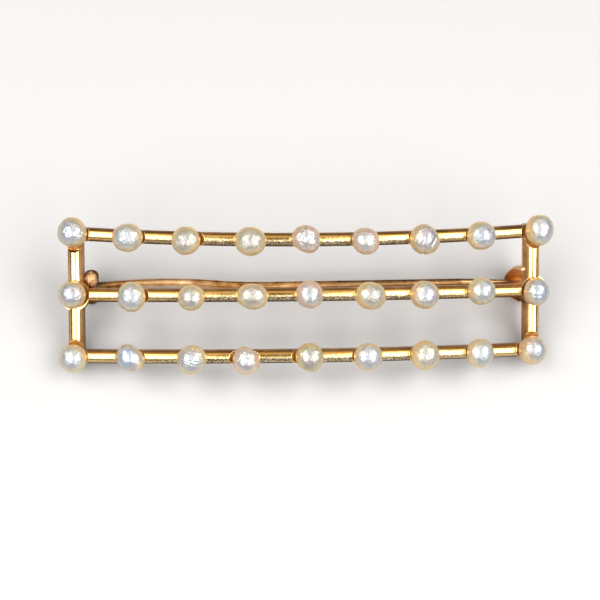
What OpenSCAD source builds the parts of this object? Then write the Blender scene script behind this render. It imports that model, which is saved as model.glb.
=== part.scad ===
// A bar brooch: three bowed gold bars between two straight end bars, nine pearls on each
// bar, and a hinged pin with a C-catch on the back. It lies on its back as it would on a
// table: on the two lower corners of the frame, the hinge and the catch.
//
// Brooch frame, before it is laid down: X runs along the bars, Y from the lower bar to the
// upper one, Z out of the front. Z is zero at the centres of the pearls at the bars' ends.

/* [Rows] */
// Distance from pearl to pearl along a bar
pearl_pitch = 5.34; // [4.8:0.02:6.2]
// Distance from the middle bar to the upper or the lower one
row_gap = 5.5; // [5:0.1:6.5]
// Radius of the bow, measured through the pearls' centres
bow_radius = 84; // [70:1:140]
// Lean of the upper bar's bow towards the middle bar, in degrees
upper_lean = 13; // [0:1:16]

/* [Pearls] */
// Diameter of a pearl whose shares are all 1
pearl_d = 2.6; // [2.4:0.05:2.9]
// Thickness of a pearl as a share of its smaller width
pearl_flat = 0.95; // [0.9:0.01:1]
// Clearance between a pearl and the cup it sits in
cup_gap = 0.05; // [0.03:0.01:0.08]
// Diameter of the peg that a pearl is cemented on
peg_d = 0.5; // [0.4:0.05:0.6]
// Clearance round the peg in the pearl's drilled hole
peg_gap = 0.04; // [0.02:0.01:0.08]
// How far the peg reaches from its pearl's centre towards the front
peg_reach = 0.1; // [0:0.05:0.3]

/* [Bars] */
// Width of a bar that carries pearls
bar_w = 1.2; // [1.1:0.05:1.4]
// Depth of a bar that carries pearls, front to back
bar_t = 1.3; // [1.2:0.05:1.8]
// Distance from a pearl's centre back to the front of its bar
bar_drop = 0.5; // [0.4:0.05:0.6]
// Width of an end bar
end_w = 1.3; // [1.1:0.05:1.4]
// How much further than the other bars an end bar reaches to front and back
end_proud = 0.05; // [0.02:0.01:0.1]
// Diameter of the collar under the pearl at each end of the middle bar
collar_d = 2.7; // [2.6:0.05:3]
// Distance from a pearl's centre back to the front of a collar
collar_drop = 0.6; // [0.5:0.05:0.8]
// Thickness of a collar
collar_t = 0.8; // [0.6:0.05:1]

/* [Hinge] */
// How far the hinge's axis lies behind the pearls at the bars' ends
hinge_drop = 4.25; // [4:0.05:4.8]
// How far the hinge's axis lies inwards from the end bar's centre
hinge_inset = 1.35; // [1.2:0.05:1.6]
// Height of the hinge's middle above the middle bar's centre line
hinge_rise = 0.5; // [0.3:0.05:0.6]
// Diameter of the hinge's tube
tube_d = 1.3; // [1.2:0.05:1.4]
// Length of the hinge over its three knuckles
hinge_len = 2.4; // [2.2:0.05:2.8]
// Gap between two knuckles
knuckle_gap = 0.05; // [0.03:0.01:0.08]
// Diameter of the hinge's rivet
rivet_d = 0.5; // [0.4:0.05:0.6]
// Clearance between the rivet and a knuckle's bore
rivet_gap = 0.03; // [0.02:0.01:0.05]
// Thickness of a rivet head
head_t = 0.12; // [0.08:0.02:0.2]
// Thickness of the plate that the hinge stands on
plate_t = 0.4; // [0.3:0.05:0.6]
// Thickness of a leg between the plate and an outer knuckle
leg_w = 0.7; // [0.6:0.05:1]

/* [Pin] */
// Diameter of the pin stem
stem_d = 0.75; // [0.6:0.05:0.75]
// Length of the stem's taper
taper_len = 6; // [4:0.5:9]
// Diameter at the stem's tip
tip_d = 0.24; // [0.2:0.02:0.4]
// Distance from the stem's tip to the catch's outer end
tip_inset = 0.2; // [0:0.05:0.5]

/* [Catch] */
// Outer diameter of the catch's curl
catch_d = 3.4; // [3:0.05:3.5]
// Thickness of the catch's sheet
catch_t = 0.3; // [0.2:0.02:0.4]
// Length of the catch along the stem, and the radius of its rounded outline
catch_len = 1.9; // [1.8:0.05:2.2]
// Height of the curl's centre above the middle bar's centre line
catch_rise = 0.45; // [0.3:0.05:0.6]
// Distance from the end bar's centre to the catch's outer end
catch_out = 0.3; // [0.1:0.05:0.5]
// Angle that the curl turns through, from its top round the back of the stem
catch_turn = 205; // [180:5:225]

/* [Hidden] */
// Curves that show, and the wide bow
$fn = 64;
BOW_FN = 360;

PEARLS_IN_ROW = 9;
// Upper, middle and lower row. Columns: name, place as a share of row_gap, lean
ROWS = [
    ["upper", 1, upper_lean],
    ["middle", 0, 0],
    ["lower", -1, 0],
];
NAME = 0;
PLACE = 1;
LEAN = 2;
// One table a row, one line a pearl from left to right. Columns: slide along the bar as a
// share of pearl_pitch; rise across the bar, width along it and height across it as shares of
// pearl_d; turn in degrees; how far the cup is drilled past the pearl along the bar and across
// it, as shares of pearl_d
PEARLS = [
    [
        [0.02, 0.04, 1.06, 1.08, 40, 0, -0.16],
        [-0.05, -0.02, 1.08, 1, 8, 0.05, 0],
        [-0.08, -0.05, 1.02, 1.01, 0, 0.12, 0],
        [-0.03, -0.04, 1.12, 1.02, 0, 0, 0],
        [-0.11, 0.04, 1.05, 0.97, -12, 0, 0],
        [-0.11, -0.05, 1.02, 0.95, 0, 0, 0],
        [-0.09, -0.06, 1.08, 1.06, -20, 0, 0],
        [-0.07, -0.03, 1.06, 1, 10, 0, 0],
        [0.02, 0.01, 1.03, 1.1, -15, -0.08, -0.1],
    ],
    [
        [0, 0.05, 0.96, 0.98, 0, 0.08, 0],
        [0, -0.01, 0.98, 1.06, 0, 0.06, 0],
        [-0.01, -0.05, 0.93, 0.9, 0, 0.05, 0],
        [0, 0, 1.1, 0.94, 0, 0, 0],
        [-0.05, 0.02, 0.94, 0.98, 0, 0, 0],
        [-0.02, -0.02, 1.08, 1, 10, 0, 0],
        [-0.08, -0.05, 1.01, 1, 0, 0, 0],
        [-0.06, 0.05, 1, 0.99, 0, 0, 0],
        [-0.03, -0.03, 0.94, 1.01, 0, 0, 0],
    ],
    [
        [0, -0.02, 0.99, 0.98, 0, 0, 0.15],
        [-0.05, 0.04, 1.08, 0.99, -15, 0, 0],
        [-0.02, -0.05, 1.06, 1.02, 20, 0, 0],
        [-0.11, -0.08, 0.98, 1, 0, -0.1, 0],
        [-0.05, -0.02, 0.98, 1.03, 0, -0.1, 0],
        [-0.07, -0.04, 1.07, 0.98, 25, 0, 0],
        [-0.07, -0.02, 1.03, 1.04, 0, 0, 0],
        [-0.08, 0, 0.97, 1.02, 0, 0, 0],
        [-0.1, 0.03, 1.02, 1.06, 0, 0, 0.14],
    ],
];
SLIDE = 0;
RISE = 1;
ALONG = 2;
ACROSS = 3;
TURN = 4;
CUP_ALONG = 5;
CUP_ACROSS = 6;

// Runs of the stem from the knuckle on, each a little thinner than the last and lapped into
// it. Columns: share of the stem's length, turn in degrees, diameter as a share of stem_d
STEM_RUNS = [
    [0.075, 0, 1.03],
    [0.2, -9, 1.02],
    [0.125, 5.4, 1.01],
];
// The stem leaves the knuckle rising by this many degrees
STEM_START = 4;
STEM_LAP = 0.3;

function bow_angle(slot) = slot * pearl_pitch / bow_radius * 180 / PI;
function slot_of(column) = column - (PEARLS_IN_ROW - 1) / 2;
function pearl_size(p) = pearl_d * [p[ALONG], p[ACROSS], pearl_flat * min(p[ALONG], p[ACROSS])];
function cup_r(p) = pearl_d * max(p[ALONG], p[ACROSS]) / 2 + cup_gap;
function pearl_name(row, column) = str("pearl_", ROWS[row][NAME], "_", column + 1);

end_angle = bow_angle(slot_of(PEARLS_IN_ROW - 1));
end_x = bow_radius * sin(end_angle);
bow_rise = bow_radius * (1 - cos(end_angle));
end_drop = bar_drop - end_proud;
end_t = bar_t + 2 * end_proud;
end_back = end_drop + end_t;
// Centre line of an end bar, halfway through its depth
end_bar_x = end_x - (end_drop + end_t / 2) * sin(end_angle);

// Where the lower corners of the frame and the hinge touch the table
corner_y = -row_gap - end_w / 2;
corner_z = -end_back * cos(end_angle) - end_w / 2 * sin(end_angle);
hinge_low_y = hinge_rise - hinge_len / 2;
hinge_low_z = -hinge_drop - tube_d / 2;
rest_tilt = atan((corner_z - hinge_low_z) / (hinge_low_y - corner_y));
rest_lift = -(corner_y * sin(rest_tilt) + corner_z * cos(rest_tilt));
front_y = -row_gap * cos(rest_tilt) - bow_rise * sin(rest_tilt) - pearl_d / 2;
rear_y = -corner_y * cos(rest_tilt) - corner_z * sin(rest_tilt);

// The curl of the catch is as low as the hinge, so that it touches the table too
catch_r = catch_d / 2;
catch_z = (catch_r - rest_lift - catch_rise * sin(rest_tilt)) / cos(rest_tilt);
catch_x = end_bar_x + catch_out;

hinge_x = -end_bar_x + hinge_inset;
knuckle_len = (hinge_len - 2 * knuckle_gap) / 3;
bore_d = rivet_d + 2 * rivet_gap;
stem_len = catch_x - tip_inset - hinge_x;

// Lays the finished brooch on the table
module laid_down() {
    translate([0, -(front_y + rear_y) / 2, rest_lift])
        rotate([rest_tilt, 0, 0])
            children();
}

// Puts children in a row's own frame, with its bow in the XZ plane
module in_row(row) {
    translate([0, ROWS[row][PLACE] * row_gap, 0])
        rotate([ROWS[row][LEAN], 0, 0])
            children();
}

// Puts children on the bow, at a place counted in pearls from the middle, with Z outwards
module on_bow(slot) {
    translate([0, 0, bow_rise - bow_radius])
        rotate([0, bow_angle(slot), 0])
            translate([0, 0, bow_radius])
                children();
}

// Puts children at a pearl's centre, upright however much its row leans
module at_pearl(row, column) {
    in_row(row)
        on_bow(slot_of(column) + PEARLS[row][column][SLIDE])
            rotate([-ROWS[row][LEAN], 0, 0])
                translate([0, PEARLS[row][column][RISE] * pearl_d, 0])
                    children();
}

// Section of a bar: flat back and sides, half-round front. Y is zero at the pearls' centres
module bar_section(width, depth, drop) {
    translate([0, -drop - width / 2])
        circle(d = width);
    translate([-width / 2, -drop - depth])
        square([width, depth - width / 2]);
}

module bowed_bar(lean) {
    translate([0, 0, bow_rise - bow_radius])
        rotate([90, end_angle - 90, 0])
            rotate_extrude(angle = 2 * end_angle, $fn = BOW_FN)
                translate([bow_radius, 0])
                    rotate(-90 - lean)
                        bar_section(bar_w, bar_t, bar_drop);
}

module end_bar(side) {
    on_bow(side * slot_of(PEARLS_IN_ROW - 1))
        translate([0, row_gap + end_w / 2, 0])
            rotate([90, 0, 0])
                linear_extrude(2 * row_gap + end_w)
                    bar_section(end_w, end_t, end_drop);
}

module collar(side) {
    on_bow(side * slot_of(PEARLS_IN_ROW - 1))
        translate([0, 0, -collar_drop - collar_t])
            cylinder(d = collar_d, h = collar_t);
}

module cup(p) {
    past = pearl_d * [p[CUP_ALONG], p[CUP_ACROSS], 0];
    sphere(r = cup_r(p));
    if (norm(past) > 0)
        translate(past)
            sphere(r = cup_r(p));
}

module peg() {
    translate([0, 0, -bar_drop - bar_t + end_proud])
        cylinder(d = peg_d, h = bar_drop + bar_t - end_proud + peg_reach);
}

module all_bars() {
    difference() {
        union() {
            for (row = [0:2])
                in_row(row) bowed_bar(ROWS[row][LEAN]);
            for (side = [-1, 1]) {
                end_bar(side);
                collar(side);
            }
        }
        for (row = [0:2])
            for (column = [0:PEARLS_IN_ROW - 1])
                at_pearl(row, column) cup(PEARLS[row][column]);
    }
    for (row = [0:2])
        for (column = [0:PEARLS_IN_ROW - 1])
            at_pearl(row, column) peg();
}

// Puts children at the hinge's axis, with Z along it from the lower end
module at_hinge() {
    translate([hinge_x, hinge_low_y, -hinge_drop])
        rotate([-90, 0, 0])
            children();
}

module hinge_bore() {
    at_hinge()
        translate([0, 0, -hinge_len])
            cylinder(d = bore_d, h = 3 * hinge_len);
}

module hinge_legs() {
    plate_z = -end_back - plate_t;
    reach = hinge_inset + leg_w / 2 + end_w / 2;
    middle_z = -(end_back + plate_t / 2) * cos(end_angle) + hinge_inset * sin(end_angle);
    leg_len = hinge_drop + middle_z;
    difference() {
        union() {
            on_bow(-slot_of(PEARLS_IN_ROW - 1))
                translate([-end_w / 2, hinge_low_y, plate_z])
                    cube([reach, hinge_len, plate_t + 2 * end_proud]);
            for (lower_end = [0, hinge_len - knuckle_len])
                at_hinge()
                    translate([0, 0, lower_end]) {
                        cylinder(d = tube_d, h = knuckle_len);
                        translate([-leg_w / 2, -leg_len, 0])
                            cube([leg_w, leg_len, knuckle_len]);
                    }
        }
        hinge_bore();
    }
}

// Section of the catch across the stem: a leg from the bar, then the curl round the stem
module catch_section() {
    inner_r = catch_r - catch_t;
    difference() {
        circle(r = catch_r);
        circle(r = inner_r);
        polygon([
            [0, 0],
            [2 * catch_r, 0],
            [2 * catch_r, 2 * catch_r],
            [-2 * catch_r, 2 * catch_r],
            2 * catch_r * [cos(catch_turn), -sin(catch_turn)],
        ]);
    }
    translate([inner_r, 0])
        square([catch_t, -catch_z - end_drop - end_t / 2]);
}

// Outline of the catch from the front: half a disc, straight at the catch's outer end
module catch_outline() {
    intersection() {
        circle(r = catch_len);
        translate([-catch_len, -catch_len])
            square([catch_len, 2 * catch_len]);
    }
}

module c_catch() {
    intersection() {
        translate([catch_x, catch_rise, catch_z])
            rotate([90, 0, -90])
                linear_extrude(catch_len)
                    mirror([1, 0])
                        catch_section();
        translate([catch_x, catch_rise, catch_z - 2 * catch_r])
            linear_extrude(4 * catch_r)
                catch_outline();
    }
}

module frame() {
    color([0.86, 0.67, 0.33])
        laid_down() {
            all_bars();
            hinge_legs();
            c_catch();
        }
}

module hinge_rivet() {
    color([0.78, 0.58, 0.38])
        laid_down()
            at_hinge()
                translate([0, 0, -head_t]) {
                    cylinder(d = rivet_d, h = hinge_len + 2 * head_t);
                    cylinder(d = (rivet_d + tube_d) / 2, h = head_t);
                    translate([0, 0, hinge_len + head_t])
                        cylinder(d = (rivet_d + tube_d) / 2, h = head_t);
                }
}

// One run of the stem in the XY plane, then its children at the run's end
module stem_run(length, turn, d) {
    if (turn == 0) {
        rotate([0, 90, 0])
            cylinder(d = d, h = length);
        translate([length, 0, 0])
            children();
    } else {
        bend_r = length / abs(turn) * 180 / PI;
        lap_angle = STEM_LAP / bend_r * 180 / PI;
        side = sign(turn);
        translate([0, side * bend_r, 0])
            rotate([0, 0, side > 0 ? -90 - lap_angle : 90 + turn])
                rotate_extrude(angle = abs(turn) + lap_angle, $fn = BOW_FN)
                    translate([bend_r, 0])
                        circle(d = d);
        translate([0, side * bend_r, 0])
            rotate([0, 0, turn])
                translate([0, -side * bend_r, 0])
                    children();
    }
}

module stem_from(run) {
    if (run < len(STEM_RUNS))
        stem_run(STEM_RUNS[run][0] * stem_len, STEM_RUNS[run][1], STEM_RUNS[run][2] * stem_d)
            stem_from(run + 1);
    else
        straight_end();
}

module straight_end() {
    bent = stem_len * (STEM_RUNS[0][0] + STEM_RUNS[1][0] + STEM_RUNS[2][0]);
    straight = stem_len - bent - taper_len;
    rotate([0, 90, 0]) {
        translate([0, 0, -STEM_LAP])
            cylinder(d = stem_d, h = straight + STEM_LAP);
        translate([0, 0, straight]) {
            cylinder(d1 = stem_d, d2 = tip_d, h = taper_len - tip_d / 2);
            translate([0, 0, taper_len - tip_d / 2])
                sphere(d = tip_d);
        }
    }
}

module pin_stem() {
    color([0.8, 0.6, 0.4])
        laid_down()
            difference() {
                union() {
                    at_hinge()
                        translate([0, 0, knuckle_len + knuckle_gap])
                            cylinder(d = tube_d, h = knuckle_len);
                    translate([hinge_x, hinge_rise, -hinge_drop])
                        rotate([0, 0, STEM_START])
                            stem_from(0);
                }
                hinge_bore();
            }
}

module pearl(row, column) {
    p = PEARLS[row][column];
    color([0.93, 0.9, 0.84])
        laid_down()
            at_pearl(row, column)
                difference() {
                    rotate([0, 0, p[TURN]])
                        scale(pearl_size(p))
                            sphere(d = 1);
                    translate([0, 0, -pearl_d])
                        cylinder(d = peg_d + 2 * peg_gap, h = pearl_d + peg_reach + peg_gap);
                }
}

frame();
hinge_rivet();
pin_stem();
for (row = [0:2])
    for (column = [0:PEARLS_IN_ROW - 1])
        pearl(row, column);
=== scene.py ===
# %% [markdown]
# # A bar brooch with seed pearls
#
# The brooch is a gold frame of three bowed bars between two end bars. Twenty-seven small
# natural pearls sit in cups cut into the bars, and a hinged pin closes into a C-catch on the
# back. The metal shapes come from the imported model, so this lesson is about what makes them
# look real: nacre, worn gold, the thin lips of the cups, and studio light.

import math

import bmesh
import bpy
from mathutils import Matrix, Vector, kdtree, noise


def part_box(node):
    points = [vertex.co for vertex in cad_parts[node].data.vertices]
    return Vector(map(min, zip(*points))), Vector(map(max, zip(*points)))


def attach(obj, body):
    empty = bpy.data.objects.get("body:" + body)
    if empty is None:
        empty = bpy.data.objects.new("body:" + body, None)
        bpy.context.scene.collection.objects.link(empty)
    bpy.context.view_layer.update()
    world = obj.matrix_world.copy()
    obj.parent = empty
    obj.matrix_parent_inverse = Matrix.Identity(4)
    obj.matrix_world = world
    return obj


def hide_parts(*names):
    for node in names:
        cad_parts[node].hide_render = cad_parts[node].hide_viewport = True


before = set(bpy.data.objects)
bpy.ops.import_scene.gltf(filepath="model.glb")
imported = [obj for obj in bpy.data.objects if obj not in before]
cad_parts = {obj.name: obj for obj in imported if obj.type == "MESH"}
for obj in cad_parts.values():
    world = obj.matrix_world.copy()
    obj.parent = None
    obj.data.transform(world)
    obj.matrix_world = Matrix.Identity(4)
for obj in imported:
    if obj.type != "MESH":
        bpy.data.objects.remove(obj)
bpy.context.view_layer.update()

# %% [markdown]
# Sizes are easier to read in millimetres, while Blender works in metres here. The numbers
# below are the brooch's own: how it lies, and how its bars are bowed. Every pearl and every
# lip is placed from them, so nothing has to be fitted by eye.

# %% Sizes of the brooch
MM = 0.001
# How the brooch lies: tipped about its long axis, then shifted and lifted
REST_TILT = math.radians(28.393)
REST_SHIFT = 0.542 * MM
REST_LIFT = 4.643 * MM
# The bars' bow, and the pearls' spacing along it. The end bars are four pearls out.
BOW_RADIUS = 84 * MM
PEARL_PITCH = 5.34 * MM
END_ANGLE = 4 * PEARL_PITCH / BOW_RADIUS
# Room between a pearl and its cup, then the radius and the top of a pearl's peg hole
CUP_GAP = 0.05 * MM
PEG_HOLE = 0.29 * MM
PEG_TOP = 0.15 * MM
print("bow rises", round(BOW_RADIUS * (1 - math.cos(END_ANGLE)) / MM, 2), "mm")

# %% [markdown]
# ## Small helpers
#
# A material is a handful of nodes wired together. One function adds a node, sets its values
# and makes its links, so that each material below reads as a short recipe. Colours are
# written as the hex values that a picture editor shows, and turned to linear light once.

# %% Colours


def colour(hex_value):
    channels = [int(hex_value[i : i + 2], 16) / 255 for i in (1, 3, 5)]
    linear = [c / 12.92 if c <= 0.04045 else ((c + 0.055) / 1.055) ** 2.4 for c in channels]
    return (*linear, 1)


print("a mid grey, #808080, is", round(colour("#808080")[0], 3), "in linear light")

# %% Nodes


def add_node(tree, kind, settings=None, **inputs):
    made = tree.nodes.new(kind)
    for name, value in (settings or {}).items():
        if name != "stops":
            setattr(made, name, value)
            continue
        while len(made.color_ramp.elements) < len(value):
            made.color_ramp.elements.new(0.5)
        for element, (position, hex_value) in zip(made.color_ramp.elements, value):
            element.position, element.color = position, colour(hex_value)
    for name, value in inputs.items():
        key = int(name[1:]) if name[1:].isdigit() else name.replace("_", " ")
        if isinstance(value, bpy.types.Node):
            value = value.outputs[0]
        if isinstance(value, bpy.types.NodeSocket):
            tree.links.new(value, made.inputs[key])
        else:
            made.inputs[key].default_value = value
    return made


MATH, NOISE, MIX, RANGE, RAMP = (
    f"ShaderNode{kind}" for kind in ("Math", "TexNoise", "Mix", "MapRange", "ValToRGB")
)
PLUS, MINUS, TIMES, SIZE, LARGER = (
    {"operation": name} for name in ("ADD", "SUBTRACT", "MULTIPLY", "ABSOLUTE", "MAXIMUM")
)
SOFT = {"interpolation_type": "SMOOTHSTEP"}
COLOURS = {"data_type": "RGBA"}
print("nodes used:", MATH, NOISE, MIX, RANGE, RAMP)

# %% Materials and pieces


def new_material(name):
    material = bpy.data.materials.new(name)
    material.use_nodes = True
    tree = material.node_tree
    shader = tree.nodes["Principled BSDF"]
    return material, tree, shader


def give(piece, material):
    piece.data.materials.clear()
    piece.data.materials.append(material)


def piece_from(bm, name, body):
    mesh = bpy.data.meshes.new(name)
    bm.to_mesh(mesh)
    bm.free()
    for polygon in mesh.polygons:
        polygon.use_smooth = True
    piece = bpy.data.objects.new(name, mesh)
    bpy.context.scene.collection.objects.link(piece)
    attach(piece, body)
    return piece


print("helpers ready")

# %% [markdown]
# ## The camera
#
# The photograph looks down on the brooch at about 65 degrees, from a little to the left of its
# middle. A camera could be placed by eye, but its place and lens were worked out from where the
# pearls lie in the picture. A long lens keeps the bars nearly parallel.

# %% Camera
camera_data = bpy.data.cameras.new("camera")
camera_data.sensor_width = 36
camera_data.lens = 94.35
camera_data.clip_start = 1 * MM
camera_data.clip_end = 10
camera = bpy.data.objects.new("camera", camera_data)
camera.location = Vector((-16.780, -57.547, 132.893)) * MM
camera.rotation_euler = [math.radians(a) for a in (24.324, -5.629, -3.267)]
bpy.context.scene.collection.objects.link(camera)
bpy.context.scene.camera = camera
print("camera stands", round(camera.location.length / MM), "mm from the brooch")

# %% [markdown]
# ## The floor and the light
#
# The brooch lies on a plain pale sheet. Jewels are lit with large soft boxes, since a polished
# surface shows nothing but what stands round it. Two long ones stand to the sides of the
# camera. Each pearl shows them as a pair of upright soft highlights, and the gold as a broad
# bright band with a thin dip where the gap between them is. A third one, weak and warm, lights
# the brooch from behind.

# %% Floor
FLOOR_HALF = 900 * MM
bm = bmesh.new()
bmesh.ops.create_grid(bm, x_segments=1, y_segments=1, size=FLOOR_HALF)
floor_mesh = bpy.data.meshes.new("floor")
bm.to_mesh(floor_mesh)
bm.free()
floor = bpy.data.objects.new("floor", floor_mesh)
bpy.context.scene.collection.objects.link(floor)
# Uncoated paper is matt, so it gives the eye soft shadows and no gleam
pale_paper, tree, shader = new_material("pale_paper")
shader.inputs["Base Color"].default_value = colour("#A6A4A1")
shader.inputs["Roughness"].default_value = 0.75
shader.inputs["Specular IOR Level"].default_value = 0.2
give(floor, pale_paper)
print("floor laid")

# %% Lights


def soft_box(name, azimuth, elevation, distance, size, watts, tint="#FFFFFF"):
    data = bpy.data.lights.new(name, "AREA")
    data.shape = "RECTANGLE"
    data.size, data.size_y = size[0] * MM, size[1] * MM
    data.energy = watts
    data.color = colour(tint)[:3]
    light = bpy.data.objects.new(name, data)
    a, e = math.radians(azimuth), math.radians(elevation)
    away = Vector((math.sin(a) * math.cos(e), -math.cos(a) * math.cos(e), math.sin(e)))
    # The long side runs away from the viewer, so that a pearl shows it upright
    along = (Vector((0, 1, 0)) - away * away.y).normalized()
    light.matrix_world = Matrix((along.cross(away), along, away)).transposed().to_4x4()
    light.location = away * distance * MM
    bpy.context.scene.collection.objects.link(light)
    return light


# Azimuth and elevation in degrees, then distance and size in mm, watts and tint
soft_box("left_box", -68, 51, 260, (205, 370), 1.48, "#FBFCFF")
soft_box("right_box", 62, 51, 260, (212, 370), 1.55, "#FBFCFF")
soft_box("back_box", 178, 62, 300, (320, 200), 0.22, "#FFF8EE")
world = bpy.data.worlds.new("studio")
bpy.context.scene.world = world
world.use_nodes = True
background = world.node_tree.nodes["Background"]
background.inputs["Color"].default_value = colour("#C9CCD2")
background.inputs["Strength"].default_value = 0.10
print("lights set")

# %% [markdown]
# ## The gold
#
# The frame is 14 carat yellow gold, drawn as half-round wire, bent, soldered and polished by
# hand. Polishing leaves very fine marks along the wire, and decades of wear leave a softer
# shine. Gold is a metal, so all of its colour is in its reflections. The sides of the bars and
# the hinge behind the brooch are painted brown and dark: partly a brown film where the cloth
# hardly reached, partly painted shade, darkest on the sides that look down.
#
# To know where those places are, the shader turns a point into the brooch's own frame, and
# asks which way its surface looks: forward, or towards the lower row.

# %% Where a point lies on the brooch


def brooch_place(tree):
    place = add_node(tree, "ShaderNodeTexCoord").outputs["Object"]
    lying = {"Location": (0, REST_SHIFT, REST_LIFT), "Rotation": (REST_TILT, 0, 0)}
    lowered = add_node(tree, "ShaderNodeMapping", {"vector_type": "TEXTURE"}, Vector=place, **lying)
    return lowered, add_node(tree, "ShaderNodeSeparateXYZ", Vector=lowered).outputs


FRONT = (0, -math.sin(REST_TILT), math.cos(REST_TILT))
LOWER_ROW = (0, -math.cos(REST_TILT), -math.sin(REST_TILT))


def facing(tree, direction):
    normal = add_node(tree, "ShaderNodeTexCoord").outputs["Normal"]
    dot = {"operation": "DOT_PRODUCT"}
    return add_node(tree, "ShaderNodeVectorMath", dot, i0=normal, i1=direction).outputs["Value"]


print("front of the brooch looks along", [round(c, 3) for c in FRONT])

# %% Where the film and the painted shade lie
polished_gold, tree, shader = new_material("polished_14_carat_gold")
lowered, parts = brooch_place(tree)
size_x = add_node(tree, MATH, SIZE, i0=parts["X"])
# The bars bow away by x squared over twice the radius, so depth is counted from there
squared = add_node(tree, MATH, TIMES, i0=parts["X"], i1=parts["X"])
bowed = add_node(tree, MATH, TIMES, i0=squared, i1=0.5 / BOW_RADIUS)
depth = add_node(tree, MATH, PLUS, i0=parts["Z"], i1=bowed)
# Fittings behind the brooch at its ends get their own colours: painted shade on the hinge, a
# painted glow on the catch
behind = add_node(tree, RANGE, SOFT, Value=depth, From_Min=1.02 * MM, From_Max=0.92 * MM)
at_ends = add_node(tree, RANGE, SOFT, Value=size_x, From_Min=15.5 * MM, From_Max=17 * MM)
fittings = add_node(tree, MATH, TIMES, i0=behind, i1=at_ends)
forward = facing(tree, FRONT)
# The sides of the bars are painted brown: partly a film the cloth missed, partly painted shade
film_and_shade = add_node(tree, RANGE, SOFT, Value=forward, From_Min=0.94, From_Max=0.30)
downward = facing(tree, LOWER_ROW)
# Sides that look down get a darker painted shade, a painted dark reflection
underside_shade = add_node(tree, RANGE, SOFT, Value=downward, From_Min=0.35, From_Max=0.75)
lower_half = add_node(tree, RANGE, SOFT, Value=downward, From_Min=-0.15, From_Max=0.30)
middle = add_node(tree, RANGE, SOFT, Value=size_x, From_Min=18 * MM, From_Max=9 * MM, To_Min=0.35)
print("film lies on the sides of the bars")

# %% Colour of the gold
# Wear clouds a few millimetres wide, and grime specks of a seventh of a millimetre
clouds = add_node(tree, NOISE, Vector=lowered, Scale=420, Detail=4, Roughness=0.6)
specks = add_node(tree, NOISE, Vector=lowered, Scale=7000, Detail=3, Roughness=0.7)
yellow = [(0.3, "#D8AE64"), (0.55, "#E6C27C"), (0.75, "#F0D298")]
brown = [(0.3, "#785232"), (0.5, "#A27446"), (0.7, "#C69862")]
umber = [(0.3, "#26160C"), (0.5, "#402614"), (0.7, "#643E20")]
yellow, brown, umber = (
    add_node(tree, RAMP, {"stops": stops}, Fac=clouds) for stops in (yellow, brown, umber)
)
# Sides that look down are painted a deep umber: painted shade and painted dark reflection
brown = add_node(tree, MIX, COLOURS, i0=underside_shade, i6=brown, i7=umber).outputs[2]
# The upper side of each bar is painted a deeper yellow: painted shade
upper_side_shade = add_node(tree, RANGE, SOFT, Value=downward, From_Min=-0.05, From_Max=-0.5, To_Max=0.85)
yellow = add_node(tree, MIX, COLOURS, i0=upper_side_shade, i6=yellow, i7=colour("#BE8E48")).outputs[2]
# The lower half of each bar is painted grey and grainy, most of all in the middle: partly worn
# grain, partly a painted dark reflection, and its palest specks are painted glints
stops = [(0.38, "#5A4A30"), (0.5, "#A08C66"), (0.6, "#F6E8C8")]
grain_and_glints = add_node(tree, RAMP, {"stops": stops}, Fac=specks)
rubbed_and_shaded = add_node(tree, MATH, TIMES, i0=lower_half, i1=middle)
yellow = add_node(tree, MIX, COLOURS, i0=rubbed_and_shaded, i6=yellow, i7=grain_and_glints).outputs[2]
tone = add_node(tree, MIX, COLOURS, i0=film_and_shade, i6=yellow, i7=brown).outputs[2]
print("bars coloured")

# %% Colour of the catch and the hinge
# The catch is painted orange inside its curl, a painted glow of bounced light, with a painted
# highlight along its upper edge. The hinge is painted a dark brown rose: painted shade under the
# bars.
on_catch = add_node(tree, RANGE, SOFT, Value=parts["X"], From_Min=0, From_Max=1 * MM)
stops = [(0.34, "#743A12"), (0.5, "#AE6424"), (0.68, "#DC9848")]
painted_glow = add_node(tree, RAMP, {"stops": stops}, Fac=clouds)
painted_highlight_edge = add_node(tree, RANGE, SOFT, Value=parts["Y"], From_Min=1.0 * MM, From_Max=1.8 * MM)
painted_glow = add_node(tree, MIX, COLOURS, i0=painted_highlight_edge, i6=painted_glow, i7=colour("#DCAE76")).outputs[2]
stops = [(0.34, "#2E1B12"), (0.5, "#5E3B28"), (0.68, "#9A6B4C")]
rose = add_node(tree, RAMP, {"stops": stops}, Fac=specks)
back = add_node(tree, MIX, COLOURS, i0=on_catch, i6=rose, i7=painted_glow).outputs[2]
tone = add_node(tree, MIX, COLOURS, i0=fittings, i6=tone, i7=back).outputs[2]
tree.links.new(tone, shader.inputs["Base Color"])
shader.inputs["Metallic"].default_value = 1
print("gold coloured")

# %% Gloss and marks of the gold
# Polishing marks run along the wire, 0.06 mm across and 2 mm long. The middle of the brooch
# is pitted where it was rubbed most: pits of 0.15 mm.
squeezed = add_node(tree, "ShaderNodeMapping", Vector=lowered, Scale=(500, 16000, 16000))
marks = add_node(tree, NOISE, Vector=squeezed, Scale=1, Detail=2)
pits = add_node(tree, NOISE, Vector=lowered, Scale=6500, Detail=2, Roughness=0.6)
pitted = add_node(tree, MATH, TIMES, i0=pits, i1=add_node(tree, MATH, TIMES, i0=middle, i1=2.2))
dull = add_node(tree, MATH, TIMES, i0=add_node(tree, MATH, LARGER, i0=film_and_shade, i1=fittings), i1=0.32)
rough = add_node(tree, MATH, PLUS, i0=add_node(tree, MATH, TIMES, i0=clouds, i1=0.14), i1=0.10)
rough = add_node(tree, MATH, PLUS, i0=rough, i1=add_node(tree, MATH, TIMES, i0=marks, i1=0.07))
rough = add_node(tree, MATH, PLUS, i0=rough, i1=dull)
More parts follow.
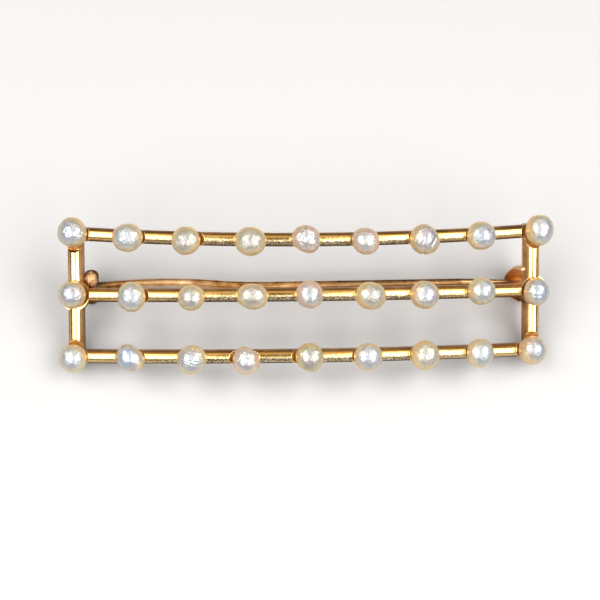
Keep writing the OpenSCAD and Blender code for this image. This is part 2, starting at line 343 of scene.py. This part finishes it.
rough = add_node(tree, MATH, PLUS, i0=rough, i1=add_node(tree, MATH, TIMES, i0=rubbed_and_shaded, i1=0.16))
tree.links.new(rough.outputs[0], shader.inputs["Roughness"])
relief = add_node(tree, MATH, PLUS, i0=add_node(tree, MATH, TIMES, i0=marks, i1=0.15), i1=pitted)
relief = add_node(tree, MATH, PLUS, i0=relief, i1=add_node(tree, MATH, TIMES, i0=specks, i1=0.4))
bump = add_node(tree, "ShaderNodeBump", Strength=0.4, Distance=0.014 * MM, Height=relief)
tree.links.new(bump.outputs["Normal"], shader.inputs["Normal"])
give(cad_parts["frame"], polished_gold)
print("frame is polished gold")

# %% Burnished gold for the lips
# A burnisher rubs the lips brighter than the bars, and leaves them a paler yellow. It slips in
# strokes a third of a millimetre wide.
burnished_gold, tree, shader = new_material("burnished_lip_gold")
place = add_node(tree, "ShaderNodeTexCoord").outputs["Object"]
rubs = add_node(tree, NOISE, Vector=place, Scale=3000, Detail=2)
stops = [(0.3, "#E9B46A"), (0.6, "#F8D596"), (0.8, "#FFE8BE")]
tone = add_node(tree, RAMP, {"stops": stops}, Fac=rubs)
tree.links.new(tone.outputs[0], shader.inputs["Base Color"])
shader.inputs["Metallic"].default_value = 1
gloss = add_node(tree, MATH, PLUS, i0=add_node(tree, MATH, TIMES, i0=rubs, i1=0.2), i1=0.1)
tree.links.new(gloss.outputs[0], shader.inputs["Roughness"])
print("lip gold ready")

# %% [markdown]
# ## The pin and its rivet
#
# The pin stem is a harder, redder alloy so that it springs back. It was never polished as
# brightly as the front, and skin and cloth have dulled it. One even tone would look like
# plastic, so its tone changes along it: painted shade round the hinge, a painted reflection
# of the lights a few millimetres from it, and browner towards the catch. Its marks run along the
# wire.

# %% Tone of the rosy gold
# Patches of wear are about a millimetre wide
rosy_gold, tree, shader = new_material("worn_rosy_gold")
lowered, parts = brooch_place(tree)
patches = add_node(tree, NOISE, Vector=lowered, Scale=900, Detail=5, Roughness=0.65)
stops = [(0.32, "#966432"), (0.5, "#C68F52"), (0.7, "#E6BC84")]
tone = add_node(tree, RAMP, {"stops": stops}, Fac=patches).outputs[0]
# A few millimetres from its hinge the stem is painted brighter: a painted reflection of the lights
past_hinge = add_node(tree, RANGE, SOFT, Value=parts["X"], From_Min=-17 * MM, From_Max=-15 * MM)
painted_bright_span = add_node(tree, RANGE, SOFT, Value=parts["X"], From_Min=-8.5 * MM, From_Max=-12 * MM)
painted_bright_span = add_node(tree, MATH, TIMES, i0=painted_bright_span, i1=past_hinge)
stops = [(0.32, "#C89862"), (0.5, "#E2B680"), (0.7, "#F4D6A4")]
bright = add_node(tree, RAMP, {"stops": stops}, Fac=patches)
tone = add_node(tree, MIX, COLOURS, i0=painted_bright_span, i6=tone, i7=bright).outputs[2]
# Towards the catch it is painted browner
towards_catch = add_node(tree, RANGE, SOFT, Value=parts["X"], From_Min=-1 * MM, From_Max=5 * MM)
stops = [(0.32, "#6E5032"), (0.5, "#967048"), (0.7, "#B89262")]
browner = add_node(tree, RAMP, {"stops": stops}, Fac=patches)
tone = add_node(tree, MIX, COLOURS, i0=towards_catch, i6=tone, i7=browner).outputs[2]
# Round the hinge it is painted almost as dark as the knuckles beside it: painted shade under the
# bars
near_hinge = add_node(tree, RANGE, SOFT, Value=parts["X"], From_Min=-18.0 * MM, From_Max=-18.9 * MM)
stops = [(0.36, "#432D1E"), (0.5, "#805C3C"), (0.66, "#C6A274")]
shaded = add_node(tree, RAMP, {"stops": stops}, Fac=patches)
tone = add_node(tree, MIX, COLOURS, i0=near_hinge, i6=tone, i7=shaded).outputs[2]
tree.links.new(tone, shader.inputs["Base Color"])
shader.inputs["Metallic"].default_value = 1
print("rosy gold coloured")

# %% Gloss and marks of the rosy gold
# Drawing marks are 0.14 mm across and 2.5 mm long
squeezed = add_node(tree, "ShaderNodeMapping", Vector=lowered, Scale=(400, 7000, 7000))
marks = add_node(tree, NOISE, Vector=squeezed, Scale=1, Detail=3)
rough = add_node(tree, MATH, PLUS, i0=add_node(tree, MATH, TIMES, i0=patches, i1=0.22), i1=0.19)
rough = add_node(tree, MATH, PLUS, i0=rough, i1=add_node(tree, MATH, TIMES, i0=near_hinge, i1=0.25))
rough = add_node(tree, MATH, PLUS, i0=rough, i1=add_node(tree, MATH, TIMES, i0=painted_bright_span, i1=0.12))
tree.links.new(rough.outputs[0], shader.inputs["Roughness"])
bump = add_node(tree, "ShaderNodeBump", Strength=0.25, Distance=0.012 * MM, Height=marks)
tree.links.new(bump.outputs["Normal"], shader.inputs["Normal"])
give(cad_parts["pin_stem"], rosy_gold)
give(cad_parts["hinge_rivet"], rosy_gold)
print("pin and rivet are rosy gold")

# %% [markdown]
# ## The lips of the cups
#
# Each cup was cut with a round burr, and the setter then pushed a thin lip of gold up along
# the cut. It catches the light as a fine bright line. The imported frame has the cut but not
# the lip, so this cell looks for the sharp edges that lie on a cup's sphere, and runs a thin
# rounded bead along them.

# %% Find the pearls' places
ROWS = ("upper", "middle", "lower")
pearl_nodes = [f"pearl_{row}_{column}" for row in ROWS for column in range(1, 10)]


def seat_of(node):
    low, high = (Vector(corner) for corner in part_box(node))
    centre = (low + high) / 2
    bowed_by = math.asin(centre.x / BOW_RADIUS)
    turn = Matrix.Rotation(REST_TILT, 3, "X") @ Matrix.Rotation(bowed_by, 3, "Y")
    places = [turn.transposed() @ (v.co - centre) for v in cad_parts[node].data.vertices]
    lows = [min(p[i] for p in places) for i in range(3)]
    highs = [max(p[i] for p in places) for i in range(3)]
    middle = Vector([(a + b) / 2 for a, b in zip(lows, highs)])
    halves = Vector([(b - a) / 2 for a, b in zip(lows, highs)])
    return centre + turn @ middle, turn, halves


seats = {node: seat_of(node) for node in pearl_nodes}
print("first pearl", [round(c / MM, 2) for c in seats["pearl_upper_1"][0]])

# %% Find what belongs to a cup
# A lip is a sharp edge close to its cup's sphere, and a wall is a face that looks at its pearl
MERGE = 0.002 * MM
SHARP = math.radians(30)
LIP_FROM, LIP_PAST = 0.95, 0.30 * MM
WALL_FROM, WALL_PAST = 0.70, 0.35 * MM
LOOKS_AT_PEARL = 0.6

cups = kdtree.KDTree(len(seats))
reaches = []
for index, (centre, turn, halves) in enumerate(seats.values()):
    cups.insert(centre, index)
    reaches.append(max(halves.x, halves.y) + CUP_GAP)
cups.balance()
# The two middle end pearls sit in plain collars, which have no pushed lip
COLLARS = [pearl_nodes.index(node) for node in ("pearl_middle_1", "pearl_middle_9")]


def merged_frame():
    bm = bmesh.new()
    bm.from_mesh(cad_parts["frame"].data)
    bmesh.ops.remove_doubles(bm, verts=bm.verts, dist=MERGE)
    return bm


def on_a_cup(point):
    centre, index, gap = cups.find(point)
    reach = reaches[index]
    return index not in COLLARS and LIP_FROM * reach < gap < reach + LIP_PAST


def is_lip(edge):
    if len(edge.link_faces) != 2 or edge.calc_face_angle(0) < SHARP:
        return False
    return all(on_a_cup(v.co) for v in edge.verts)


def is_wall(face):
    middle = face.calc_center_median()
    centre, index, gap = cups.find(middle)
    inward = (centre - middle).normalized().dot(face.normal)
    reach = reaches[index]
    return WALL_FROM * reach < gap < reach + WALL_PAST and inward > LOOKS_AT_PEARL


print("cups are", round(min(reaches) / MM, 2), "to", round(max(reaches) / MM, 2), "mm in radius")

# %% Lay a bead along each cup's edge
LIP_WIDTH = 0.12 * MM

lips = merged_frame()
kept = {edge for edge in lips.edges if is_lip(edge)}
bmesh.ops.delete(lips, geom=lips.faces[:], context="FACES_ONLY")
bmesh.ops.delete(lips, geom=[e for e in lips.edges if e not in kept], context="EDGES")
bmesh.ops.delete(lips, geom=[v for v in lips.verts if not v.link_edges], context="VERTS")
print("lip edges:", len(lips.edges))
lip_mesh = bpy.data.meshes.new("cup_lips")
lips.to_mesh(lip_mesh)
lips.free()
cup_lips = bpy.data.objects.new("cup_lips", lip_mesh)
bpy.context.scene.collection.objects.link(cup_lips)
bpy.ops.object.select_all(action="DESELECT")
cup_lips.select_set(True)
bpy.context.view_layer.objects.active = cup_lips
bpy.ops.object.convert(target="CURVE")
cup_lips.data.bevel_depth = LIP_WIDTH / 2
cup_lips.data.bevel_resolution = 1
cup_lips.data.use_fill_caps = True
bpy.ops.object.convert(target="MESH")
for polygon in cup_lips.data.polygons:
    polygon.use_smooth = True
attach(cup_lips, "brooch")
give(cup_lips, burnished_gold)
print("lip faces:", len(cup_lips.data.polygons))

# %% [markdown]
# ## The skin in the cups and its painted glow
#
# Soldering leaves a thin matt skin in each cup, and no cloth can rub it off. Light also goes
# to and fro between the cup and the pearl, and the skin is painted a deep orange to stand in
# for it: a painted glow. The skin is the cup's wall, copied from the imported frame and lifted
# a hundredth of a millimetre. It then gets a thickness, so that it is a closed shell as a real skin
# is.

# %% Find the patches of a mesh


def patches_of(bm):
    left, found = set(bm.faces), []
    while left:
        patch, front = set(), {left.pop()}
        while front:
            patch |= front
            front = {f for face in front for edge in face.edges for f in edge.link_faces} & left
            left -= front
        found.append(patch)
    return found


print("the frame as packed has", len(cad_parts["frame"].data.polygons), "loose triangles")

# %% Skin the cups
SKIN_LIFT, SKIN_THICKNESS = 0.010 * MM, 0.008 * MM
SMALLEST_PATCH = 20

cup_glow_skins = merged_frame()
others = [face for face in cup_glow_skins.faces if not is_wall(face)]
bmesh.ops.delete(cup_glow_skins, geom=others, context="FACES")
slivers = [face for patch in patches_of(cup_glow_skins) if len(patch) < SMALLEST_PATCH for face in patch]
bmesh.ops.delete(cup_glow_skins, geom=slivers, context="FACES")
cup_glow_skins.normal_update()
for v in cup_glow_skins.verts:
    v.co += v.normal * SKIN_LIFT
walls = len(cup_glow_skins.faces)
bmesh.ops.solidify(cup_glow_skins, geom=cup_glow_skins.faces[:], thickness=SKIN_THICKNESS)
bmesh.ops.recalc_face_normals(cup_glow_skins, faces=cup_glow_skins.faces)
print("wall faces:", walls, "slivers left out:", len(slivers))
print("faces of the shells:", len(cup_glow_skins.faces))
glow_skins = piece_from(cup_glow_skins, "cup_glow_skins", "brooch")

# %% Painted orange glow of the cups
# The matt skin has spots of 0.4 mm. Its orange is a painted glow of light bounced between cup
# and pearl, with no sharp gleam
cup_glow_gold, tree, shader = new_material("cup_gold_with_painted_glow")
place = add_node(tree, "ShaderNodeTexCoord").outputs["Object"]
spots = add_node(tree, NOISE, Vector=place, Scale=2400, Detail=3)
stops = [(0.32, "#B87632"), (0.5, "#DE9C4C"), (0.68, "#F6C67E")]
tone = add_node(tree, RAMP, {"stops": stops}, Fac=spots)
tree.links.new(tone.outputs[0], shader.inputs["Base Color"])
shader.inputs["Metallic"].default_value = 0.5
gloss = add_node(tree, MATH, PLUS, i0=add_node(tree, MATH, TIMES, i0=spots, i1=0.3), i1=0.2)
tree.links.new(gloss.outputs[0], shader.inputs["Roughness"])
give(glow_skins, cup_glow_gold)
print("cups are orange")

# %% [markdown]
# ## The solder at the hinge
#
# The hinge is soldered behind the middle bar, and the solder stands as a rounded, ribbed lump
# over its plate. A ball is pressed to the plate's size, and ribs are drawn across it.

# %% Solder the hinge
LUMP_PLACE = Vector((-19.50, 1.30, -1.55)) * MM
LUMP_HALVES = Vector((0.62, 0.76, 0.42)) * MM
LUMP_RIB = 0.34 * MM
RIB_DEPTH, BULGE_DEPTH, DENT_DEPTH = 0.05, 0.08, 0.05
RIBS_WANDER = 1.2
to_brooch = Matrix.Translation((0, REST_SHIFT, REST_LIFT)) @ Matrix.Rotation(REST_TILT, 4, "X")
bm = bmesh.new()
bmesh.ops.create_icosphere(bm, subdivisions=6, radius=1)
for v in bm.verts:
    wander = RIBS_WANDER * noise.noise(v.co * 1.5)
    rib = math.sin(2 * math.pi * v.co.x * LUMP_HALVES.x / LUMP_RIB + wander)
    bulge, dent = noise.noise(v.co * 2.3), noise.noise(v.co * 6)
    v.co *= 1 + RIB_DEPTH * rib + BULGE_DEPTH * bulge + DENT_DEPTH * dent
bmesh.ops.scale(bm, verts=bm.verts, vec=LUMP_HALVES)
bmesh.ops.transform(bm, verts=bm.verts, matrix=to_brooch @ Matrix.Translation(LUMP_PLACE))
give(piece_from(bm, "hinge_solder", "brooch"), rosy_gold)
print("solder lump is", [round(2 * h / MM, 2) for h in LUMP_HALVES], "mm")

# %% [markdown]
# ## The rivet's heads
#
# A rivet is closed with a few taps round its end, which leaves a low dome that covers the end
# of the knuckle. Half a ball, pressed flat and turned onto the hinge's axis, is that dome.

# %% Dome the rivet
HINGE_AXIS = Vector((0, math.cos(REST_TILT), math.sin(REST_TILT)))
DOME_RADIUS, DOME_HEIGHT, DOME_SINK = 0.60 * MM, 0.36 * MM, 0.10 * MM
# The ball has a ring of points right on the cut, and those within this distance stay whole
CUT_SNAP = 0.001
rivet_points = [v.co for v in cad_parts["hinge_rivet"].data.vertices]
low, high = (Vector(corner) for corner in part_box("hinge_rivet"))
rivet_middle = (low + high) / 2
for name, way in (("rivet_dome_upper", HINGE_AXIS), ("rivet_dome_lower", -HINGE_AXIS)):
    reach = max((p - rivet_middle).dot(way) for p in rivet_points)
    bm = bmesh.new()
    bmesh.ops.create_uvsphere(bm, u_segments=48, v_segments=24, radius=1)
    whole = bm.verts[:] + bm.edges[:] + bm.faces[:]
    cut = dict(plane_co=(0, 0, 0), plane_no=(0, 0, 1), clear_inner=True)
    bmesh.ops.bisect_plane(bm, geom=whole, dist=CUT_SNAP, **cut)
    bmesh.ops.holes_fill(bm, edges=[e for e in bm.edges if e.is_boundary], sides=0)
    bmesh.ops.scale(bm, verts=bm.verts, vec=(DOME_RADIUS, DOME_RADIUS, DOME_HEIGHT))
    stand = way.to_track_quat("Z", "Y").to_matrix().to_4x4()
    stand = Matrix.Translation(rivet_middle + way * (reach - DOME_SINK)) @ stand
    bmesh.ops.transform(bm, verts=bm.verts, matrix=stand)
    bmesh.ops.recalc_face_normals(bm, faces=bm.faces)
    give(piece_from(bm, name, "brooch"), polished_gold)
    print(name, "stands out", round((reach - DOME_SINK + DOME_HEIGHT) / MM, 2), "mm")

# %% [markdown]
# ## The pearls
#
# Seed pearls are grown, not ground, and no two are alike. Some are round, some are eggs or
# pears, some carry rings, creases, flats or a hammered skin. The list below has a short
# description of each, as a setter would give it. Shapes grow out of a ball: every point is
# moved in or out by what the words say, and at the end the pearl is brought to its seat's
# size.
#
# Directions are in degrees round the face of the pearl, 0 to the right and 90 to the upper
# row.

# %% Describe the pearls
# tip: direction and amount of a pointed end; flat: direction and amount of a pressed side;
# rings: direction that they cross, how many, depth; crease: direction that it crosses, offset,
# depth; skin: depth of the hammered skin; nacre: which tint. NO stands where a pearl has none.
WORDS = ("tip", "flat", "rings", "crease", "skin", "nacre")
NO = None
PEARLS = {
    "pearl_upper_1": ((95, 0.07), (25, 0.06), NO, NO, 0.028, "silver"),
    "pearl_upper_2": ((180, 0.04), (90, 0.03), (0, 9, 0.006), NO, 0.019, "white"),
    "pearl_upper_3": ((250, 0.05), (20, 0.03), NO, NO, 0.022, "cream"),
    "pearl_upper_4": ((0, 0.05), (95, 0.03), NO, NO, 0.016, "cream"),
    "pearl_upper_5": ((320, 0.09), (240, 0.08), (75, 5, 0.010), (80, -0.45, 0.03), 0.032, "pink"),
    "pearl_upper_6": ((300, 0.06), (200, 0.07), NO, NO, 0.019, "pink"),
    "pearl_upper_7": ((330, 0.05), (40, 0.06), (330, 6, 0.022), (330, 0.35, 0.03), 0.015, "peach"),
    "pearl_upper_8": ((260, 0.04), (0, 0.02), NO, NO, 0.024, "silver"),
    "pearl_upper_9": ((60, 0.02), (200, 0.03), NO, NO, 0.014, "silver"),
    "pearl_middle_1": ((270, 0.02), (90, 0.02), (130, 10, 0.005), NO, 0.016, "peach"),
    "pearl_middle_2": ((280, 0.03), (90, 0.02), NO, NO, 0.016, "white"),
    "pearl_middle_3": ((20, 0.02), (90, 0.03), NO, NO, 0.014, "cream"),
    "pearl_middle_4": ((310, 0.06), (90, 0.04), (95, 4, 0.006), NO, 0.019, "cream"),
    "pearl_middle_5": ((100, 0.02), (250, 0.03), NO, NO, 0.016, "pink"),
    "pearl_middle_6": ((290, 0.05), (60, 0.03), NO, NO, 0.016, "cream"),
    "pearl_middle_7": ((120, 0.03), (330, 0.02), NO, NO, 0.019, "peach"),
    "pearl_middle_8": ((250, 0.03), (80, 0.02), (150, 5, 0.006), NO, 0.016, "white"),
    "pearl_middle_9": ((0, 0.03), (135, 0.03), (85, 7, 0.018), (85, -0.3, 0.014), 0.014, "blue"),
    "pearl_lower_1": ((200, 0.02), (90, 0.02), NO, NO, 0.024, "white"),
    "pearl_lower_2": ((335, 0.19), (58, 0.16), NO, NO, 0.022, "blue"),
    "pearl_lower_3": ((30, 0.07), (120, 0.05), (75, 9, 0.026), (60, -0.45, 0.02), 0.019, "white"),
    "pearl_lower_4": ((350, 0.08), (55, 0.07), NO, NO, 0.027, "pink"),
    "pearl_lower_5": ((80, 0.05), (225, 0.05), (0, 6, 0.005), NO, 0.024, "straw"),
    "pearl_lower_6": ((20, 0.06), (230, 0.05), NO, NO, 0.019, "silver"),
    "pearl_lower_7": ((150, 0.02), (45, 0.02), NO, NO, 0.024, "cream"),
    "pearl_lower_8": ((220, 0.03), (90, 0.02), NO, NO, 0.016, "white"),
    "pearl_lower_9": ((310, 0.05), (160, 0.03), (35, 5, 0.008), NO, 0.016, "peach"),
}
PEARLS = {node: dict(zip(WORDS, row)) for node, row in PEARLS.items()}
print("pearls described:", len(PEARLS))

# %% [markdown]
# A crease is a groove with soft shoulders, and it is painted darker: painted shade in the
# groove. The grooves of rings get the same painted shade. The shape function gives both: how
# far a point moves, and how much painted shade it gets. The second number is kept on the mesh
# as an attribute that the material reads. A third one, crown, says how near a point is to the
# pearl's front. The body colour is painted along it: silvery at the front, and round the rim a
# warm cream that is a painted reflection of the gold and of light through the thin edge.

# %% Shape of one pearl


def in_face(degrees):
    return Vector((math.cos(math.radians(degrees)), math.sin(math.radians(degrees)), 0))


TIP_GROWS, FLAT_SINKS, UNEVEN = 1.4, 1.5, 0.03
# The second numbers on the next two lines are the painted shade of ring grooves and of creases
RINGS_WANDER, RING_SHADE = 0.06, 0.5
CREASE_WANDERS, CREASE_SHADE, DEEP_CREASE = 0.07, 0.4, 0.03
CREASE_HALF, SHOULDER_AWAY, SHOULDER_RISES = 0.12, 0.24, 0.35
MID_MARKS, SMALL_MARKS = 0.65, 0.35


def grown(n, words, seed):
    # Each noise has its own pace, the number that n is multiplied by, so none repeats another
    (tip, tip_amount), (flat, flat_amount) = words["tip"], words["flat"]
    size = 1 + TIP_GROWS * tip_amount * max(0, n.dot(in_face(tip))) ** 3
    size -= FLAT_SINKS * flat_amount * max(0, n.dot(in_face(flat))) ** 4
    size += UNEVEN * noise.noise(n * 1.3 - seed * 3)
    groove_shade = 0
    if words["rings"]:
        direction, count, depth = words["rings"]
        across = n.dot(in_face(direction)) + RINGS_WANDER * noise.noise(n * 2.2 + seed)
        # Rings are strong in some places and fade in others
        strength = 0.6 + 0.5 * noise.noise(n * 1.7 - seed)
        wave = math.sin(across * count * math.pi)
        size -= depth * strength * (0.5 + 0.5 * wave) ** 2
        # Ring grooves are painted darker: painted shade
        groove_shade += RING_SHADE * strength * (0.5 + 0.5 * wave) ** 6
    if words["crease"]:
        direction, offset, depth = words["crease"]
        across = n.dot(in_face(direction)) - offset
        across += CREASE_WANDERS * noise.noise(n * 1.9 + seed * 2)
        groove = math.exp(-((across / CREASE_HALF) ** 2))
        shoulder = math.exp(-(((abs(across) - SHOULDER_AWAY) / CREASE_HALF) ** 2))
        # A crease runs out somewhere behind the widest part
        length = max(0, min(1, 0.55 + n.z + 0.3 * noise.noise(n * 1.3 - seed)))
        size += length * depth * (SHOULDER_RISES * shoulder - groove)
        # The crease's groove is painted darker: painted shade
        groove_shade += CREASE_SHADE * length * groove * min(1, depth / DEEP_CREASE)
    # Hammer marks of three sizes
    hammer = noise.noise(n * 2.6 + seed)
    hammer += MID_MARKS * noise.noise(n * 5.7 - seed) + SMALL_MARKS * noise.noise(n * 12.5 + seed)
    size += words["skin"] * hammer
    return size, min(1, groove_shade)


print("shape of a pearl described")

# %% Grow the pearls


def grow_pearl(node, seed):
    words = PEARLS[node]
    centre, turn, halves = seats[node]
    offset = Vector((seed * 3.1, seed * 1.7, -seed * 2.3))
    bm = bmesh.new()
    bmesh.ops.create_icosphere(bm, subdivisions=6, radius=1)
    crown = bm.verts.layers.float.new("crown")
    # The crease layer holds the painted shade of creases and ring grooves
    crease = bm.verts.layers.float.new("crease")
    for v in bm.verts:
        n = v.co.normalized()
        size, groove_shade = grown(n, words, offset)
        v[crown] = 0.5 + 0.5 * n.z
        v[crease] = groove_shade
        v.co = n * size
    reach = [max(abs(v.co[i]) for v in bm.verts) for i in range(3)]
    bmesh.ops.scale(bm, verts=bm.verts, vec=[h / r for h, r in zip(halves, reach)])
    # The hole at the seat leaves room for the peg
    for v in bm.verts:
        if v.co.z < 0 and math.hypot(v.co.x, v.co.y) < PEG_HOLE:
            v.co.z = PEG_TOP
    bmesh.ops.transform(bm, verts=bm.verts, matrix=Matrix.Translation(centre) @ turn.to_4x4())
    piece = piece_from(bm, node.replace("pearl", "nacre"), "brooch")
    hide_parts(node)
    return piece


nacre_pieces = {node: grow_pearl(node, seed) for seed, node in enumerate(pearl_nodes, 1)}
print("pearls grown:", len(nacre_pieces))

# %% [markdown]
# ## Nacre
#
# Nacre is thin plates of aragonite, laid down like roof tiles. It is neither a paint nor a
# mirror: light comes back from many layers at once, so a pearl has a soft silvery gloss over a
# warm body, a milky edge, and faint rose and sky blue where the layers interfere. The body
# colour is silver at the crown and a warm cream round the rim, and it pales again towards the
# seat. The warm cream round the rim is a painted reflection of the gold and of light through
# the thin edge. A thin film setting would draw even rings of colour round a ball, and a pearl's
# colours are patchy, so a clouded tint gives the colour play here. A coat gives the wet-looking
# top layer.

# %% Lustre
# The same for every pearl: half of the light comes back from the stacked layers, as from a
# metal, the rest from the milky body under a clear coat
LUSTRE = {
    "Metallic": 0.46,
    "IOR": 1.66,
    "Specular Tint": colour("#F2D2A4"),
    "Subsurface Weight": 0.15,
    "Subsurface Radius": (1.0, 0.7, 0.45),
    "Subsurface Scale": 0.4 * MM,
    "Coat Weight": 0.42,
    "Coat Roughness": 0.17,
    "Coat IOR": 1.5,
    "Sheen Weight": 0.25,
    "Sheen Roughness": 0.3,
    "Sheen Tint": colour("#EDD3A2"),
}
print("settings of the lustre:", len(LUSTRE))

# %% Nacre tints
# rim, side and crown colour of each tint, then the clouds' colour. The warm rim colour is a
# painted reflection of the gold and of light through the thin edge.
NACRES = {
    "silver": ("#C8AF79", "#ADA997", "#93979A", "#8A8D8F"),
    "white": ("#CBB17D", "#B1AD96", "#939999", "#949491"),
    "cream": ("#C9AB6E", "#B8AA86", "#94938A", "#978B74"),
    "peach": ("#C6A570", "#B7AB8F", "#919497", "#968577"),
    "pink": ("#C4A780", "#BDAA96", "#979995", "#97857E"),
    "straw": ("#C0A667", "#AAA27E", "#8F8D86", "#847B62"),
    "blue": ("#C2AA7C", "#A4A79D", "#8B979F", "#7C8290"),
}


def nacre(name, tints):
    rim, side, front, cloud = tints
    material, tree, shader = new_material(f"nacre_{name}")
    crown = add_node(tree, "ShaderNodeAttribute", {"attribute_name": "crown"}).outputs["Fac"]
    crease = add_node(tree, "ShaderNodeAttribute", {"attribute_name": "crease"}).outputs["Fac"]
    place = add_node(tree, "ShaderNodeTexCoord").outputs["Object"]
    # Clouds of about a millimetre, pores of a quarter of one
    cloudy = {"Scale": 950, "Detail": 3, "Roughness": 0.55, "Distortion": 0.6}
    clouds = add_node(tree, NOISE, Vector=place, **cloudy)
    pores = add_node(tree, NOISE, Vector=place, Scale=4200, Detail=3, Roughness=0.65)
    drift = add_node(tree, MATH, TIMES, i0=add_node(tree, MATH, MINUS, i0=clouds, i1=0.5), i1=0.25)
    uneven = add_node(tree, MATH, PLUS, i0=crown, i1=drift)
    # The rim's warm tone is a painted reflection of the gold beside it, so it fades again towards
    # the back
    girdle = [(0.16, side), (0.42, rim), (0.64, rim), (0.80, side), (0.95, front)]
    body = add_node(tree, RAMP, {"stops": girdle}, Fac=uneven)
    patch = add_node(tree, RANGE, SOFT, Value=clouds, From_Min=0.52, From_Max=0.75, To_Max=0.5)
    body = add_node(tree, MIX, COLOURS, i0=patch, i6=body, i7=colour(cloud)).outputs[2]
    # Faint rose and sky blue where the layers interfere, in patches of 0.4 mm
    play = add_node(tree, NOISE, Vector=place, Scale=2400, Detail=2, Distortion=1.2)
    stops = [(0.35, "#DCEAF6"), (0.5, "#FFFFFF"), (0.65, "#F8DEE8")]
    play = add_node(tree, RAMP, {"stops": stops}, Fac=play)
    tinting = {**COLOURS, "blend_type": "MULTIPLY"}
    body = add_node(tree, MIX, tinting, i0=0.75, i6=body, i7=play).outputs[2]
    # Creases and ring grooves are painted darker: painted shade
    shaded = add_node(tree, MATH, TIMES, i0=crease, i1=0.6)
    body = add_node(tree, MIX, COLOURS, i0=shaded, i6=body, i7=colour("#8C7765")).outputs[2]
    tree.links.new(body, shader.inputs["Base Color"])
    rough = add_node(tree, MATH, PLUS, i0=add_node(tree, MATH, TIMES, i0=clouds, i1=0.2), i1=0.13)
    tree.links.new(rough.outputs[0], shader.inputs["Roughness"])
    for socket, value in LUSTRE.items():
        shader.inputs[socket].default_value = value
    bump = add_node(tree, "ShaderNodeBump", Strength=1, Distance=0.05 * MM, Height=pores)
    tree.links.new(bump.outputs["Normal"], shader.inputs["Normal"])
    return material


print("tints:", ", ".join(NACRES))

# %% Finish the pearls
nacre_of = {name: nacre(name, tints) for name, tints in NACRES.items()}
for node, piece in nacre_pieces.items():
    give(piece, nacre_of[PEARLS[node]["nacre"]])
print("tints used:", sorted({words["nacre"] for words in PEARLS.values()}))

# %% [markdown]
# ## Colour
#
# The plain view transform keeps white whites and clear gold tones.

# %% Finish
bpy.context.scene.view_settings.view_transform = "Standard"
bpy.context.scene.view_settings.look = "None"
